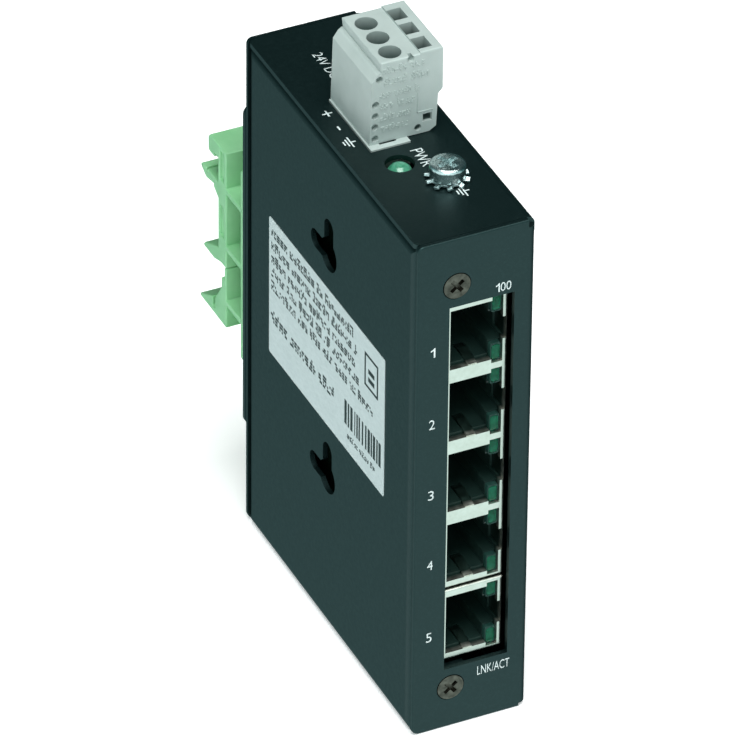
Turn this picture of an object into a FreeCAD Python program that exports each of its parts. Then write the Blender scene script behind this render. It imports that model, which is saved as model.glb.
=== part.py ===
import FreeCAD, Part
import math
import os

# Slim five-port Ethernet switch for a 35 mm rail.  Millimetres, +Z up, front (sockets) towards -Y.
# The origin is the middle of the case's bottom face.

V = FreeCAD.Vector
OUT = "parts"

# ---- case ----
CASE_W = 23.4
CASE_D = 73.8
CASE_H = 109.2
EDGE_R = 0.35
SHEET = 1.0
GAP = 0.1
BEND_OUT = 1.6
COVER_BEND = 1.9
LEFT = -CASE_W / 2
RIGHT = CASE_W / 2
FRONT = -CASE_D / 2
BACK = CASE_D / 2
TUCK = 3.2
CORNER_R = 1.7
TIP_R = 1.2
CROSS_THIN = 0.13

# ---- front cutout and cover screws ----
CUT_X0 = LEFT + 6.4
CUT_X1 = LEFT + 19.2
CUT_Z0 = 13.4
CUT_Z1 = 94.5
COVER_SCREW_X = LEFT + 7.8
COVER_SCREW_Z = (9.0, 99.0)
TAB_REACH = 11.0
TAB_HALF = 4.2
M3_R = 1.5
M3_HOLE_R = 1.55
CSK_HEAD_R = 2.62
CSK_GAP = 0.18
COVER_SCREW_PROUD = 0.05
COVER_SCREW_TURN = 40
COVER_SCREW_L = 5
PAN_HEAD_R = 2.7

# ---- keyholes in the left side ----
KEY_Y = FRONT + 37.3
KEY_Z = (34.1, 84.1)
KEY_R = 3.4
KEY_SLOT_R = 1.95
KEY_REACH = 5.7

# ---- circuit board ----
PCB_X0 = LEFT + 3.7
PCB_X1 = PCB_X0 + 1.6
PCB_Y0 = FRONT + 2.6
PCB_Y1 = BACK - 3.4
PCB_Z0 = 3.5
PCB_Z1 = 106.5
STANDOFF_AT = ((FRONT + 30, 9), (FRONT + 65, 9), (FRONT + 65, 99), (FRONT + 16, 100))
STANDOFF_R = 2.5

BOARD_SCREW_HEAD = 1.8

# ---- chips: front edge, lower edge, width, length, height, lead reach, leads on each side ----
CHIPS = {
    "switch_chip": (FRONT + 31, 42, 14, 14, 1.5, 1.0, 22),
    "memory_chip": (FRONT + 52, 46, 4, 5, 1.6, 1.0, 4),
    "regulator_chip": (FRONT + 52, 74, 6, 6.5, 2.2, 1.6, 3),
    "bridge_rectifier": (FRONT + 33, 86, 6.5, 8, 2.6, 1.2, 2),
}

# ---- block-shaped parts: front edge, back edge, lower edge, upper edge, height, corner radius ----
BLOCKS = {
    "clock_crystal": (FRONT + 51.5, FRONT + 56, 32, 43, 3.4, 2.0),
    "power_inductor": (FRONT + 34, FRONT + 44, 70, 80, 5, 2.0),
    "input_fuse": (FRONT + 44, FRONT + 51.5, 88, 91, 2.5, 0.4),
}

# ---- other parts on the board ----
CAN_AT = ((FRONT + 56, 86), (FRONT + 65, 86), (FRONT + 65, 66))
CAN_R = 3.9
CAN_H = 10.5
DISC_Y = FRONT + 53
DISC_Z = 98.8
DISC_R = 4.3
DISC_T = 4.0
SMALL_COUNT = 9

# ---- network sockets ----
PORT_Z = (86.0, 70.2, 54.4, 38.6, 22.15)
JACK_Y0 = FRONT + 1.6
JACK_Y1 = JACK_Y0 + 21.4
JACK_X0 = PCB_X1 + 0.1
JACK_X1 = LEFT + 18.75
FRAME_DEPTH = 1.6
SHIELD_T = 0.3
PORT_X0 = LEFT + 7.38
PORT_X1 = LEFT + 17.8
PORT_HALF = 6.45
END_RIM = 1.45
LATCH_HALF = 2.4
LENS_X0 = LEFT + 15.65
LENS_W = 2.1
LENS_IN = 3.5
LENS_OUT = 7.15
LENS_GAP = 0.05
INSERT_HALF = 7.5
PLUG_HALF = 5.95
PLUG_DEEP = 13.5
CONTACT_PITCH = 1.02
CONTACT_T = 0.36

# ---- power terminal ----
POLE_PITCH = 5.0
POLE_Y = tuple(FRONT + 40.35 + POLE_PITCH * k for k in (-1, 0, 1))
HEAD_X0 = LEFT + 5.3
HEAD_X1 = LEFT + 13.1
HEAD_Y0 = FRONT + 30.9
HEAD_Y1 = FRONT + 49.0
HEAD_Z0 = 99.2
HEAD_Z1 = CASE_H + 0.2
PIN_X = LEFT + 9.2
PIN_W = 1.0
PLUG_Y0 = FRONT + 32.5
PLUG_Y1 = FRONT + 49.1
PLUG_TOP = 126.5
PLUG_HIGH = 126.85
PLUG_STEP_X = LEFT + 15.6
PLUG_BASE = HEAD_Z1 + 0.05
PLUG_RIM_R = 0.3
NOSE_X0 = HEAD_X0 + 1.0
NOSE_X1 = HEAD_X1 - 1.0
NOSE_Y0 = HEAD_Y0 + 2.3
NOSE_Y1 = HEAD_Y1 - 1.0
NOSE_Z0 = HEAD_Z1 - 7.4
NOSE_FIT = 0.15
WELL_X = LEFT + 10.85
WELL_R = 2.1
WELL_DEPTH = 6.4
WIRE_X = LEFT + 17.0
WIRE_HALF_X = 1.38
WIRE_HALF_Y = 1.75
WIRE_DEPTH = 11.0
CLAMP_HEAD_R = 1.9
CLAMP_SHANK_R = 1.2
RUN_FIT = 0.05
CLAMP_Z0 = 111.6
CLAMP_Z1 = 114.4
CLAMP_ROOM = 2.3
SHANK_Z0 = CLAMP_Z0 - 0.9
DIMPLE_R = 0.7
DIMPLE_DEPTH = 1.1
PLUG_DIMPLES = ((13.7, 125.9), (7.55, 123.1), (6.85, 117.85), (6.8, 115.45),
                (6.75, 113.05), (6.75, 110.6), (15.25, 110.7))
WINDOW_X = (LEFT + 16.2, LEFT + 18.0)
WINDOW_Z = (111.65, 113.35)
WINDOW_DEPTH = 2.0

# ---- power light and ground screw ----
LIGHT_X = LEFT + 8.4
LIGHT_Y = FRONT + 25.5
LIGHT_R = 2.5
LIGHT_TOP = CASE_H - 0.05
LIGHT_BASE = 104.6
LIGHT_HOLE_R = 2.75
GROUND_X = LEFT + 14.0
GROUND_Y = FRONT + 17.5
GROUND_HEAD_R = 3.35
GROUND_RIM_R = 0.8
GROUND_SHANK_R = 1.95
GROUND_HEAD_H = 2.7
WASHER_R = 4.2
WASHER_RING_R = 3.1
TOOTH_HALF = 0.52
TOOTH_TWIST = 25
WASHER_TEETH = 10
WASHER_T = 0.6

# ---- back plate and rail foot ----
PLATE_T = 1.2
PLATE_Z0 = 21.0
PLATE_Z1 = 93.5
PLATE_SCREW_Z = (28.0, 86.0)
FOOT_SCREW_Z = (49.5, 74.0)
FOOT_SCREW_HEAD = 1.6
FOOT_HALF_W = 11.5
FOOT_Y0 = BACK + PLATE_T
FOOT_BASE_T = 1.6
FOOT_BASE_Z0 = 35.3
FOOT_BASE_Z1 = 78.0
WEB_Y0 = FRONT + 83.1
WEB_Y1 = FRONT + 86.7
WEB_TOP = 77.4
WEB_FOOT = 51.4
SHELF_T = 1.2
SHELF_TOPS = (69.5, 56.6)
LATCH_SHELF_TOP = 44.1
STEM_Y = FRONT + 79.7
STEM_R = 1.2
STEM_TOP = 64.5
SPRING_R = 2.0
SPRING_WIRE_R = 0.28
SPRING_TURNS = 5

# ---- rating label ----
LABEL_T = 0.12
LABEL_Y0 = FRONT + 12.9
LABEL_Y1 = FRONT + 63.0
LABEL_Z0 = 46.0
LABEL_Z1 = 76.5

nodes = {}


def box(x0, x1, y0, y1, z0, z1):
    return Part.makeBox(x1 - x0, y1 - y0, z1 - z0, V(x0, y0, z0))


def rod(start, direction, radius, length):
    return Part.makeCylinder(radius, length, V(*start), V(*direction))


def prism_x(points, x0, x1):
    """Outline of (y, z) points, extruded along X."""
    wire = Part.makePolygon([V(x0, y, z) for y, z in points + [points[0]]])
    return Part.Face(wire).extrude(V(x1 - x0, 0, 0))


def prism_y(points, y0, y1):
    """Outline of (x, z) points, extruded along Y."""
    wire = Part.makePolygon([V(x, y0, z) for x, z in points + [points[0]]])
    return Part.Face(wire).extrude(V(0, y1 - y0, 0))


def round_edges(shape, radius, wanted):
    """Fillet the straight edges whose middle point passes the test."""
    picked = [edge for edge in shape.Edges if wanted(edge.CenterOfMass, edge.tangentAt(edge.FirstParameter))]
    return shape.makeFillet(radius, picked)


def along_x(direction):
    return abs(direction.x) > 0.99


def along_y(direction):
    return abs(direction.y) > 0.99


def along_z(direction):
    return abs(direction.z) > 0.99


def cut(shape, tools):
    for tool in tools:
        shape = shape.cut(tool)
    return shape


def fuse(shapes):
    result = shapes[0]
    for shape in shapes[1:]:
        result = result.fuse(shape)
    return result.removeSplitter()


def cross_recess(centre, outward, size, depth, turn=0):
    """Cross-shaped driver recess of two crossed bars, sunk from the centre against the outward direction."""
    half = size / 2
    thin = size * CROSS_THIN
    bars = box(-half, half, -thin, thin, -depth, 1).fuse(box(-thin, thin, -half, half, -depth, 1))
    bars.rotate(V(0, 0, 0), V(0, 0, 1), turn)
    placed = FreeCAD.Placement(V(*centre), FreeCAD.Rotation(V(0, 0, 1), V(*outward)))
    bars.Placement = placed.multiply(bars.Placement)
    return bars


def disc_edge(shape, radius, x):
    """Fillet the rim of a disc whose face lies at the given X."""
    picked = [edge for edge in shape.Edges if abs(edge.BoundBox.XMin - x) < 0.01]
    return shape.makeFillet(radius, picked)


# ---------------------------------------------------------------- case
def chassis():
    """Right side with front, back and top flanges bent from one sheet."""
    inner_bend = BEND_OUT - SHEET
    outer = box(LEFT, RIGHT, FRONT, BACK, 0, CASE_H)
    outer = round_edges(outer, BEND_OUT, lambda c, d: along_z(d) and c.x > 0)
    inner = box(LEFT - 1, RIGHT - SHEET, FRONT + SHEET, BACK - SHEET, -1, CASE_H + 1)
    inner = round_edges(inner, inner_bend, lambda c, d: along_z(d) and c.x > 0)
    channel = outer.cut(inner)
    bend = RIGHT - BEND_OUT
    channel = channel.cut(box(bend, RIGHT + 1, FRONT - 1, BACK + 1, CASE_H - BEND_OUT, CASE_H + 1))
    channel = channel.cut(box(bend, RIGHT + 1, FRONT - 1, BACK + 1, -1, 0.8))

    seam = SHEET + 0.08
    lid = box(LEFT, RIGHT, FRONT + seam, BACK - seam, CASE_H - 2 * BEND_OUT, CASE_H)
    lid = round_edges(lid, BEND_OUT, lambda c, d: along_y(d) and c.x > 0 and c.z > CASE_H - 1)
    under = box(LEFT - 1, RIGHT - SHEET, FRONT, BACK, CASE_H - 3 * BEND_OUT, CASE_H - SHEET)
    under = round_edges(under, inner_bend, lambda c, d: along_y(d) and c.x > 0 and c.z > CASE_H - 2)
    lid = lid.cut(under)
    body = channel.fuse(lid).removeSplitter()

    body = round_edges(body, CORNER_R, lambda c, d: along_y(d) and c.z < 0.1 and c.x < 0)
    body = round_edges(body, TIP_R, lambda c, d: along_y(d) and c.z > CASE_H - 0.1 and c.x < LEFT + 0.1
                       and abs(c.y) > BACK - SHEET)
    body = round_edges(body, TIP_R, lambda c, d: along_z(d) and c.z > CASE_H - SHEET and c.x < LEFT + 0.1
                       and abs(abs(c.y) - (BACK - seam)) < 0.01)

    body = round_edges(body, EDGE_R, lambda c, d: along_x(d) and abs(c.z - CASE_H) < 0.01
                       and abs(abs(c.y) - BACK) < 0.01)

    cuts = [box(CUT_X0, CUT_X1, FRONT - 1, FRONT + 2, CUT_Z0, CUT_Z1),
            box(HEAD_X0 - 0.2, HEAD_X1 + 0.2, HEAD_Y0 - 0.2, HEAD_Y1 + 0.2, CASE_H - 2, CASE_H + 1),
            rod((LIGHT_X, LIGHT_Y, CASE_H - 2), (0, 0, 1), LIGHT_HOLE_R, 3),
            rod((GROUND_X, GROUND_Y, CASE_H - 2), (0, 0, 1), GROUND_SHANK_R + 0.15, 3)]
    for z in COVER_SCREW_Z:
        at = V(COVER_SCREW_X, FRONT, z)
        cuts.append(Part.makeCone(CSK_HEAD_R + CSK_GAP, M3_HOLE_R, SHEET + 0.2, at, V(0, 1, 0)))
    for z in PLATE_SCREW_Z + FOOT_SCREW_Z:
        cuts.append(rod((0, BACK - 2, z), (0, 1, 0), M3_HOLE_R, 3))
    return cut(body, cuts)


def keyhole(z):
    """Round hole with one slot upwards and one towards the back."""
    x = LEFT - 1
    deep = SHEET + 2
    return fuse([rod((x, KEY_Y, z), (1, 0, 0), KEY_R, deep),
                 rod((x, KEY_Y, z + KEY_REACH), (1, 0, 0), KEY_SLOT_R, deep),
                 box(x, x + deep, KEY_Y - KEY_SLOT_R, KEY_Y + KEY_SLOT_R, z, z + KEY_REACH),
                 rod((x, KEY_Y + KEY_REACH, z), (1, 0, 0), KEY_SLOT_R, deep),
                 box(x, x + deep, KEY_Y, KEY_Y + KEY_REACH, z - KEY_SLOT_R, z + KEY_SLOT_R)])


def side_cover():
    """Left side and bottom of one sheet, with flanges tucked inside the chassis."""
    tuck = SHEET + GAP
    y0 = FRONT + tuck
    y1 = BACK - tuck
    top = CASE_H - tuck
    outer = box(LEFT, LEFT + TUCK, y0, y1, 0, top)
    outer = round_edges(outer, COVER_BEND, lambda c, d: c.x < LEFT + 0.1)
    inner = box(LEFT + SHEET, LEFT + TUCK + 1, y0 + SHEET, y1 - SHEET, SHEET, top - SHEET)
    inner = round_edges(inner, COVER_BEND - SHEET, lambda c, d: c.x < LEFT + SHEET + 0.1)
    panel = outer.cut(inner)
    floor = box(LEFT + TUCK - SHEET, RIGHT - SHEET - GAP, y0, y1, 0, SHEET)
    body = panel.fuse(floor).removeSplitter()
    tabs = []
    for z in COVER_SCREW_Z:
        tabs.append(box(LEFT + TUCK - 1, LEFT + TAB_REACH, y0, y0 + SHEET, z - TAB_HALF, z + TAB_HALF))
    body = fuse([body] + tabs)
    cuts = [keyhole(z) for z in KEY_Z]
    for z in COVER_SCREW_Z:
        cuts.append(rod((COVER_SCREW_X, y0 - 1, z), (0, 1, 0), M3_R, 4))
    return cut(body, cuts)


def cover_screw(z):
    """Countersunk M3 screw, head all but flush with the front flange."""
    face = FRONT - COVER_SCREW_PROUD
    head = Part.makeCone(CSK_HEAD_R, M3_R, SHEET, V(COVER_SCREW_X, face, z), V(0, 1, 0))
    shank = rod((COVER_SCREW_X, face + SHEET, z), (0, 1, 0), M3_R, COVER_SCREW_L)
    recess = cross_recess((COVER_SCREW_X, face, z), (0, -1, 0), 3.1, 0.85, COVER_SCREW_TURN)
    return head.fuse(shank).removeSplitter().cut(recess)


# ---------------------------------------------------------------- board
def main_pcb():
    board = box(PCB_X0, PCB_X1, PCB_Y0, PCB_Y1, PCB_Z0, PCB_Z1)
    cuts = [rod((PCB_X0 - 1, y, z), (1, 0, 0), M3_HOLE_R, 4) for y, z in STANDOFF_AT]
    for y in POLE_Y:
        cuts.append(box(PCB_X0 - 1, PCB_X1 + 1, y - 0.6, y + 0.6, HEAD_Z0 + 0.4, HEAD_Z0 + 1.6))
    return cut(board, cuts)


def standoff(y, z):
    body = rod((LEFT + SHEET, y, z), (1, 0, 0), STANDOFF_R, PCB_X0 - LEFT - SHEET)
    return body.cut(rod((LEFT + SHEET, y, z), (1, 0, 0), M3_R, 4))


def board_screw(y, z):
    """Pan-head M3 screw that holds the board on its standoff."""
    face = PCB_X1 + BOARD_SCREW_HEAD
    head = disc_edge(rod((PCB_X1, y, z), (1, 0, 0), PAN_HEAD_R, BOARD_SCREW_HEAD), 0.9, face)
    tip = LEFT + SHEET + 0.3
    shank = rod((tip, y, z), (1, 0, 0), M3_R, PCB_X1 - tip)
    return head.fuse(shank).cut(cross_recess((face, y, z), (1, 0, 0), 2.8, 0.9))


def chip(y0, z0, wide, tall, high, lead, count):
    """Flat package with leads along its two upright edges, on the board's right face."""
    x0 = PCB_X1
    body = box(x0 + 0.1, x0 + high, y0, y0 + wide, z0, z0 + tall)
    leads = []
    step = tall / (count + 1)
    for k in range(count):
        z = z0 + step * (k + 1)
        leads.append(box(x0, x0 + 0.25, y0 - lead, y0 + wide + lead, z - 0.15, z + 0.15))
    return fuse([body] + leads)


def board_parts():
    """Components soldered to the board, each kind its own node."""
    for name, numbers in CHIPS.items():
        nodes[name] = chip(*numbers)
    nodes["line_transformers"] = Part.makeCompound(
        [chip(FRONT + 25.2, z - 4.5, 4.0, 9.0, 3.2, 0.6, 8) for z in PORT_Z])
    for name, (y0, y1, z0, z1, high, corner) in BLOCKS.items():
        block = box(PCB_X1, PCB_X1 + high, y0, y1, z0, z1)
        nodes[name] = round_edges(block, corner, lambda c, d: along_x(d))
    cans = []
    for y, z in CAN_AT:
        can = rod((PCB_X1, y, z), (1, 0, 0), CAN_R, CAN_H)
        cans.append(disc_edge(can, 0.5, PCB_X1 + CAN_H))
    nodes["bulk_capacitors"] = Part.makeCompound(cans)
    disc_x = PCB_X1 + DISC_R + 0.3
    disc = rod((disc_x, DISC_Y, DISC_Z), (0, 1, 0), DISC_R, DISC_T)
    stand = box(PCB_X1, disc_x, DISC_Y + 0.8, DISC_Y + DISC_T - 0.8, DISC_Z - 1.6, DISC_Z + 1.6)
    nodes["surge_suppressor"] = disc.fuse(stand).removeSplitter()
    ceramics = []
    resistors = []
    for k in range(SMALL_COUNT):
        z = 40 + 2 * k
        ceramics.append(box(PCB_X1, PCB_X1 + 0.9, FRONT + 48.2, FRONT + 49.0, z, z + 1.4))
        y = FRONT + 34 + 1.6 * k
        resistors.append(box(PCB_X1, PCB_X1 + 0.5, y, y + 0.8, 36.5, 38.0))
    nodes["ceramic_capacitors"] = Part.makeCompound(ceramics)
    nodes["resistors"] = Part.makeCompound(resistors)


# ---------------------------------------------------------------- sockets
def lens_box(z, side, grow):
    near = z + side * LENS_IN
    far = z + side * LENS_OUT
    low = min(near, far)
    high = max(near, far)
    return box(LENS_X0 - grow, LENS_X0 + LENS_W + grow, JACK_Y0 + 0.4 - 2 * grow, JACK_Y0 + 8 + grow,
               low - grow, high + grow)


def jack_shield(ports):
    """Tinned shell round one or more sockets, with a folded front frame and spring fingers."""
    z0 = min(ports) - PORT_HALF - END_RIM
    z1 = max(ports) + PORT_HALF + END_RIM
    shell = box(JACK_X0, JACK_X1, JACK_Y0, JACK_Y1, z0, z1)
    shell = round_edges(shell, 0.5, lambda c, d: c.y < JACK_Y0 + 0.1)
    hollow = box(JACK_X0 - 1, JACK_X1 - SHIELD_T, JACK_Y0 + FRAME_DEPTH, JACK_Y1 - SHIELD_T,
                 z0 + SHIELD_T, z1 - SHIELD_T)
    cuts = [hollow]
    for z in ports:
        deep = JACK_Y0 + FRAME_DEPTH + 1
        cuts.append(box(PORT_X0, PORT_X1, JACK_Y0 - 1, deep, z - PORT_HALF, z + PORT_HALF))
        cuts.append(box(LENS_X0 - 0.05, PORT_X1, JACK_Y0 - 1, deep, z - LENS_OUT - 0.1, z + LENS_OUT + 0.1))
        cuts.append(box(PORT_X1 - 1, JACK_X1 - SHIELD_T, JACK_Y0 - 1, deep, z - LATCH_HALF, z + LATCH_HALF))
    body = cut(shell, cuts)
    fingers = []
    for z in ports:
        low = z - PORT_HALF
        outline = [(JACK_Y0 + 0.1, low - 0.2), (JACK_Y0 + 0.1, low + 0.15), (JACK_Y0 + 4.6, low + 0.95),
                   (JACK_Y0 + 6.2, low + 0.55), (JACK_Y0 + 6.2, low + 0.35), (JACK_Y0 + 4.6, low + 0.72),
                   (JACK_Y0 + 1.4, low - 0.2)]
        fingers.append(prism_x(outline, LEFT + 11.0, LEFT + 12.8))
    return fuse([body] + fingers)


def jack_insert(z):
    """Black insulator with the plug cavity, the latch groove and pockets for the lenses."""
    y0 = JACK_Y0 + FRAME_DEPTH
    body = box(JACK_X0, JACK_X1 - SHIELD_T - 0.05, y0 + 0.02, JACK_Y1 - SHIELD_T - 0.1,
               z - INSERT_HALF, z + INSERT_HALF)
    cuts = [box(PORT_X0 + 0.1, LENS_X0 - 0.1, y0 - 1, y0 + PLUG_DEEP, z - PLUG_HALF, z + PLUG_HALF),
            box(LENS_X0 - 1, PORT_X1 + 0.2, y0 - 1, y0 + PLUG_DEEP, z - 3.2, z + 3.2),
            box(PORT_X1 - 1, JACK_X1, y0 - 1, y0 + 3, z - LATCH_HALF, z + LATCH_HALF),
            lens_box(z, 1, LENS_GAP), lens_box(z, -1, LENS_GAP),
            box(LEFT + 10.9, LEFT + 12.9, y0 - 1, y0 + 5, z - PLUG_HALF - 0.6, z)]
    return cut(body, cuts)


def jack_contacts(z):
    """Eight sloping contact springs along the cavity's left wall."""
    wires = []
    y0 = JACK_Y0 + FRAME_DEPTH
    for k in range(8):
        mid = z + CONTACT_PITCH * (k - 3.5)
        outline = [(PORT_X0 + 0.12, y0 + 3.2), (PORT_X0 + 2.1, y0 + 8.6), (PORT_X0 + 2.1, y0 + 9.0),
                   (PORT_X0 + 1.8, y0 + 9.1), (PORT_X0 + 0.12, y0 + 4.4)]
        wire = Part.makePolygon([V(x, y, mid - CONTACT_T / 2) for x, y in outline + [outline[0]]])
        wires.append(Part.Face(wire).extrude(V(0, 0, CONTACT_T)))
    return Part.makeCompound(wires)


def port_lenses(z):
    return Part.makeCompound([lens_box(z, side, 0) for side in (1, -1)])


# ---------------------------------------------------------------- power terminal
def terminal_header():
    """Socket on the board that the plug pushes into, its rim showing above the case."""
    half = PIN_W / 2
    body = box(HEAD_X0, HEAD_X1, HEAD_Y0, HEAD_Y1, HEAD_Z0, HEAD_Z1)
    cuts = [box(NOSE_X0 - NOSE_FIT, NOSE_X1 + NOSE_FIT, NOSE_Y0 - NOSE_FIT, NOSE_Y1 + NOSE_FIT,
                NOSE_Z0 - 0.3, HEAD_Z1 + 1),
            box(HEAD_X0 + 2.2, HEAD_X1 - 2.2, HEAD_Y0 + 1.2, HEAD_Y0 + 3, NOSE_Z0 + 1, HEAD_Z1 + 1)]
    for y in POLE_Y:
        cuts.append(box(PIN_X - half, PIN_X + half, y - half, y + half, HEAD_Z0 - 1, HEAD_Z1))
        cuts.append(box(HEAD_X0 - 1, PIN_X, y - half, y + half, HEAD_Z0 - 1, HEAD_Z0 + 1.5))
    return cut(body, cuts)


def header_pin(y):
    half = PIN_W / 2
    z = HEAD_Z0 + 0.5
    upright = box(PIN_X - half, PIN_X + half, y - half, y + half, z, HEAD_Z1 - 1.5)
    tail = box(PCB_X0 - 0.6, PIN_X, y - half, y + half, z, z + PIN_W)
    return upright.fuse(tail).removeSplitter()


def plug_half(outline):
    """Half of the plug's shell, with the outer edges of its top rounded."""
    top = max(z for x, z in outline)
    half = prism_y(outline, PLUG_Y0, PLUG_Y1)
    return round_edges(half, PLUG_RIM_R, lambda c, d: c.z > top - 0.01 and abs(c.x - PLUG_STEP_X) > 0.1)


def plug_housing():
    """Three-pole plug: driver wells on the left, square wire entries on the higher right part."""
    low = PLUG_BASE
    wells = plug_half([(LEFT + 5.65, low), (LEFT + 6.05, 122.5), (LEFT + 7.1, 124.0), (LEFT + 7.7, 124.4),
                       (LEFT + 8.0, 124.4), (LEFT + 7.75, PLUG_TOP), (PLUG_STEP_X, PLUG_TOP),
                       (PLUG_STEP_X, low - 0.1), (LEFT + 13.3, low - 0.1), (LEFT + 13.3, low)])
    entries = plug_half([(PLUG_STEP_X, low - 0.1), (PLUG_STEP_X, PLUG_HIGH), (LEFT + 20.1, PLUG_HIGH),
                         (LEFT + 20.1, 118.05), (LEFT + 19.2, 117.05), (LEFT + 18.85, 110.2),
                         (LEFT + 17.5, low - 0.1)])
    nose = box(NOSE_X0, NOSE_X1, NOSE_Y0, NOSE_Y1, NOSE_Z0, low + 1)
    cuts = []
    for y in POLE_Y:
        cuts.append(rod((WELL_X, y, PLUG_TOP - WELL_DEPTH), (0, 0, 1), WELL_R, WELL_DEPTH + 1))
        cuts.append(rod((WELL_X, y, SHANK_Z0 - 0.2), (0, 0, 1), CLAMP_SHANK_R + 0.15, 12))
        cuts.append(box(WIRE_X - WIRE_HALF_X, WIRE_X + WIRE_HALF_X, y - WIRE_HALF_Y, y + WIRE_HALF_Y,
                        PLUG_TOP - WIRE_DEPTH, PLUG_HIGH + 1))
        cuts.append(box(WELL_X - 2.2, WELL_X + 2.2, y - 1.8, y + 1.8, CLAMP_Z0 - 0.1, CLAMP_Z1 + CLAMP_ROOM))
        cuts.append(box(PIN_X - 1.2, PIN_X + 1.2, y - 1.2, y + 1.2, NOSE_Z0 - 1, PLUG_BASE + 0.5))
    for x, z in PLUG_DIMPLES:
        cuts.append(rod((LEFT + x, PLUG_Y0 - 1, z), (0, 1, 0), DIMPLE_R, DIMPLE_DEPTH + 1))
    cuts.append(box(*WINDOW_X, PLUG_Y0 - 1, PLUG_Y0 + WINDOW_DEPTH, *WINDOW_Z))
    return cut(fuse([wells, entries, nose]), cuts)


def clamp_screw(y):
    """Slotted clamp screw, its head resting on the ledge of its well."""
    z = PLUG_TOP - WELL_DEPTH
    head = rod((WELL_X, y, z), (0, 0, 1), CLAMP_HEAD_R, 1.7)
    shank = rod((WELL_X, y, SHANK_Z0), (0, 0, 1), CLAMP_SHANK_R, z - SHANK_Z0)
    slot = box(WELL_X - 2.5, WELL_X + 2.5, y - 0.25, y + 0.25, z + 0.8, z + 3)
    return head.fuse(shank).removeSplitter().cut(slot)


def clamp_block(y):
    """Square nut that rises on its screw and grips the wire."""
    block = box(WELL_X - 2.0, WELL_X + 2.0, y - 1.6, y + 1.6, CLAMP_Z0, CLAMP_Z1)
    return block.cut(rod((WELL_X, y, CLAMP_Z0 - 1), (0, 0, 1), CLAMP_SHANK_R + RUN_FIT, 6))


def plug_fork(y):
    """Two-legged contact that straddles the header pin."""
    gap = PIN_W / 2 + 0.08
    legs = [box(PIN_X - 1.1, PIN_X - gap, y - 0.6, y + 0.6, NOSE_Z0 + 0.5, PLUG_BASE),
            box(PIN_X + gap, PIN_X + 1.1, y - 0.6, y + 0.6, NOSE_Z0 + 0.5, PLUG_BASE),
            box(PIN_X - 1.1, PIN_X + 1.1, y - 0.6, y + 0.6, PLUG_BASE - 0.6, PLUG_BASE + 0.4)]
    return fuse(legs)


# ---------------------------------------------------------------- light and ground screw
def power_light():
    straight = rod((LIGHT_X, LIGHT_Y, LIGHT_BASE), (0, 0, 1), LIGHT_R, LIGHT_TOP - LIGHT_R - LIGHT_BASE)
    dome = Part.makeSphere(LIGHT_R, V(LIGHT_X, LIGHT_Y, LIGHT_TOP - LIGHT_R))
    dome = dome.common(box(LIGHT_X - 4, LIGHT_X + 4, LIGHT_Y - 4, LIGHT_Y + 4, LIGHT_TOP - LIGHT_R, CASE_H))
    return straight.fuse(dome).removeSplitter()


def light_holder():
    return box(PCB_X1, LIGHT_X + 2.6, LIGHT_Y - 2.8, LIGHT_Y + 2.8, 98.5, LIGHT_BASE)


def ground_screw():
    """Pan-head M4 screw above its lock washer."""
    z = CASE_H + 1.1
    head = rod((GROUND_X, GROUND_Y, z), (0, 0, 1), GROUND_HEAD_R, GROUND_HEAD_H)
    rim = [edge for edge in head.Edges if edge.BoundBox.ZMin > z + 1]
    head = head.makeFillet(GROUND_RIM_R, rim)
    shank = rod((GROUND_X, GROUND_Y, z - 8), (0, 0, 1), GROUND_SHANK_R, 8)
    screw = head.fuse(shank).removeSplitter()
    return screw.cut(cross_recess((GROUND_X, GROUND_Y, z + GROUND_HEAD_H), (0, 0, 1), 4.3, 1.5, 20))


def lock_washer():
    """External-tooth washer, each tooth twisted and cut round at its tip."""
    z = CASE_H + 0.03
    ring = rod((GROUND_X, GROUND_Y, z + 0.2), (0, 0, 1), WASHER_RING_R, WASHER_T)
    teeth = []
    for k in range(WASHER_TEETH):
        tooth = box(WASHER_RING_R - 0.4, WASHER_R + 1, -TOOTH_HALF, TOOTH_HALF, 0, WASHER_T)
        tooth.rotate(V(0, 0, WASHER_T / 2), V(1, 0, 0), TOOTH_TWIST)
        tooth.rotate(V(0, 0, 0), V(0, 0, 1), 360.0 * k / WASHER_TEETH)
        tooth.translate(V(GROUND_X, GROUND_Y, z + 0.2))
        teeth.append(tooth)
    washer = fuse([ring] + teeth)
    washer = washer.cut(rod((GROUND_X, GROUND_Y, z - 1), (0, 0, 1), GROUND_SHANK_R + 0.1, 4))
    return washer.common(rod((GROUND_X, GROUND_Y, z), (0, 0, 1), WASHER_R, 1.04))


def ground_nut():
    z = CASE_H - SHEET - 3.0
    points = []
    for k in range(7):
        angle = math.radians(60 * k + 30)
        points.append(V(GROUND_X + 4.0 * math.cos(angle), GROUND_Y + 4.0 * math.sin(angle), z))
    nut = Part.Face(Part.makePolygon(points)).extrude(V(0, 0, 3.0))
    return nut.cut(rod((GROUND_X, GROUND_Y, z - 1), (0, 0, 1), GROUND_SHANK_R + RUN_FIT, 5))


# ---------------------------------------------------------------- back plate and rail foot
def mounting_plate():
    plate = box(LEFT, RIGHT, BACK, BACK + PLATE_T, PLATE_Z0, PLATE_Z1)
    plate = round_edges(plate, 2.0, lambda c, d: along_y(d))
    cuts = [rod((0, BACK - 1, z), (0, 1, 0), M3_HOLE_R, 4) for z in FOOT_SCREW_Z]
    for z in PLATE_SCREW_Z:
        cuts.append(Part.makeCone(M3_HOLE_R, CSK_HEAD_R + CSK_GAP, PLATE_T, V(0, BACK, z), V(0, 1, 0)))
    return cut(plate, cuts)


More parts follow.
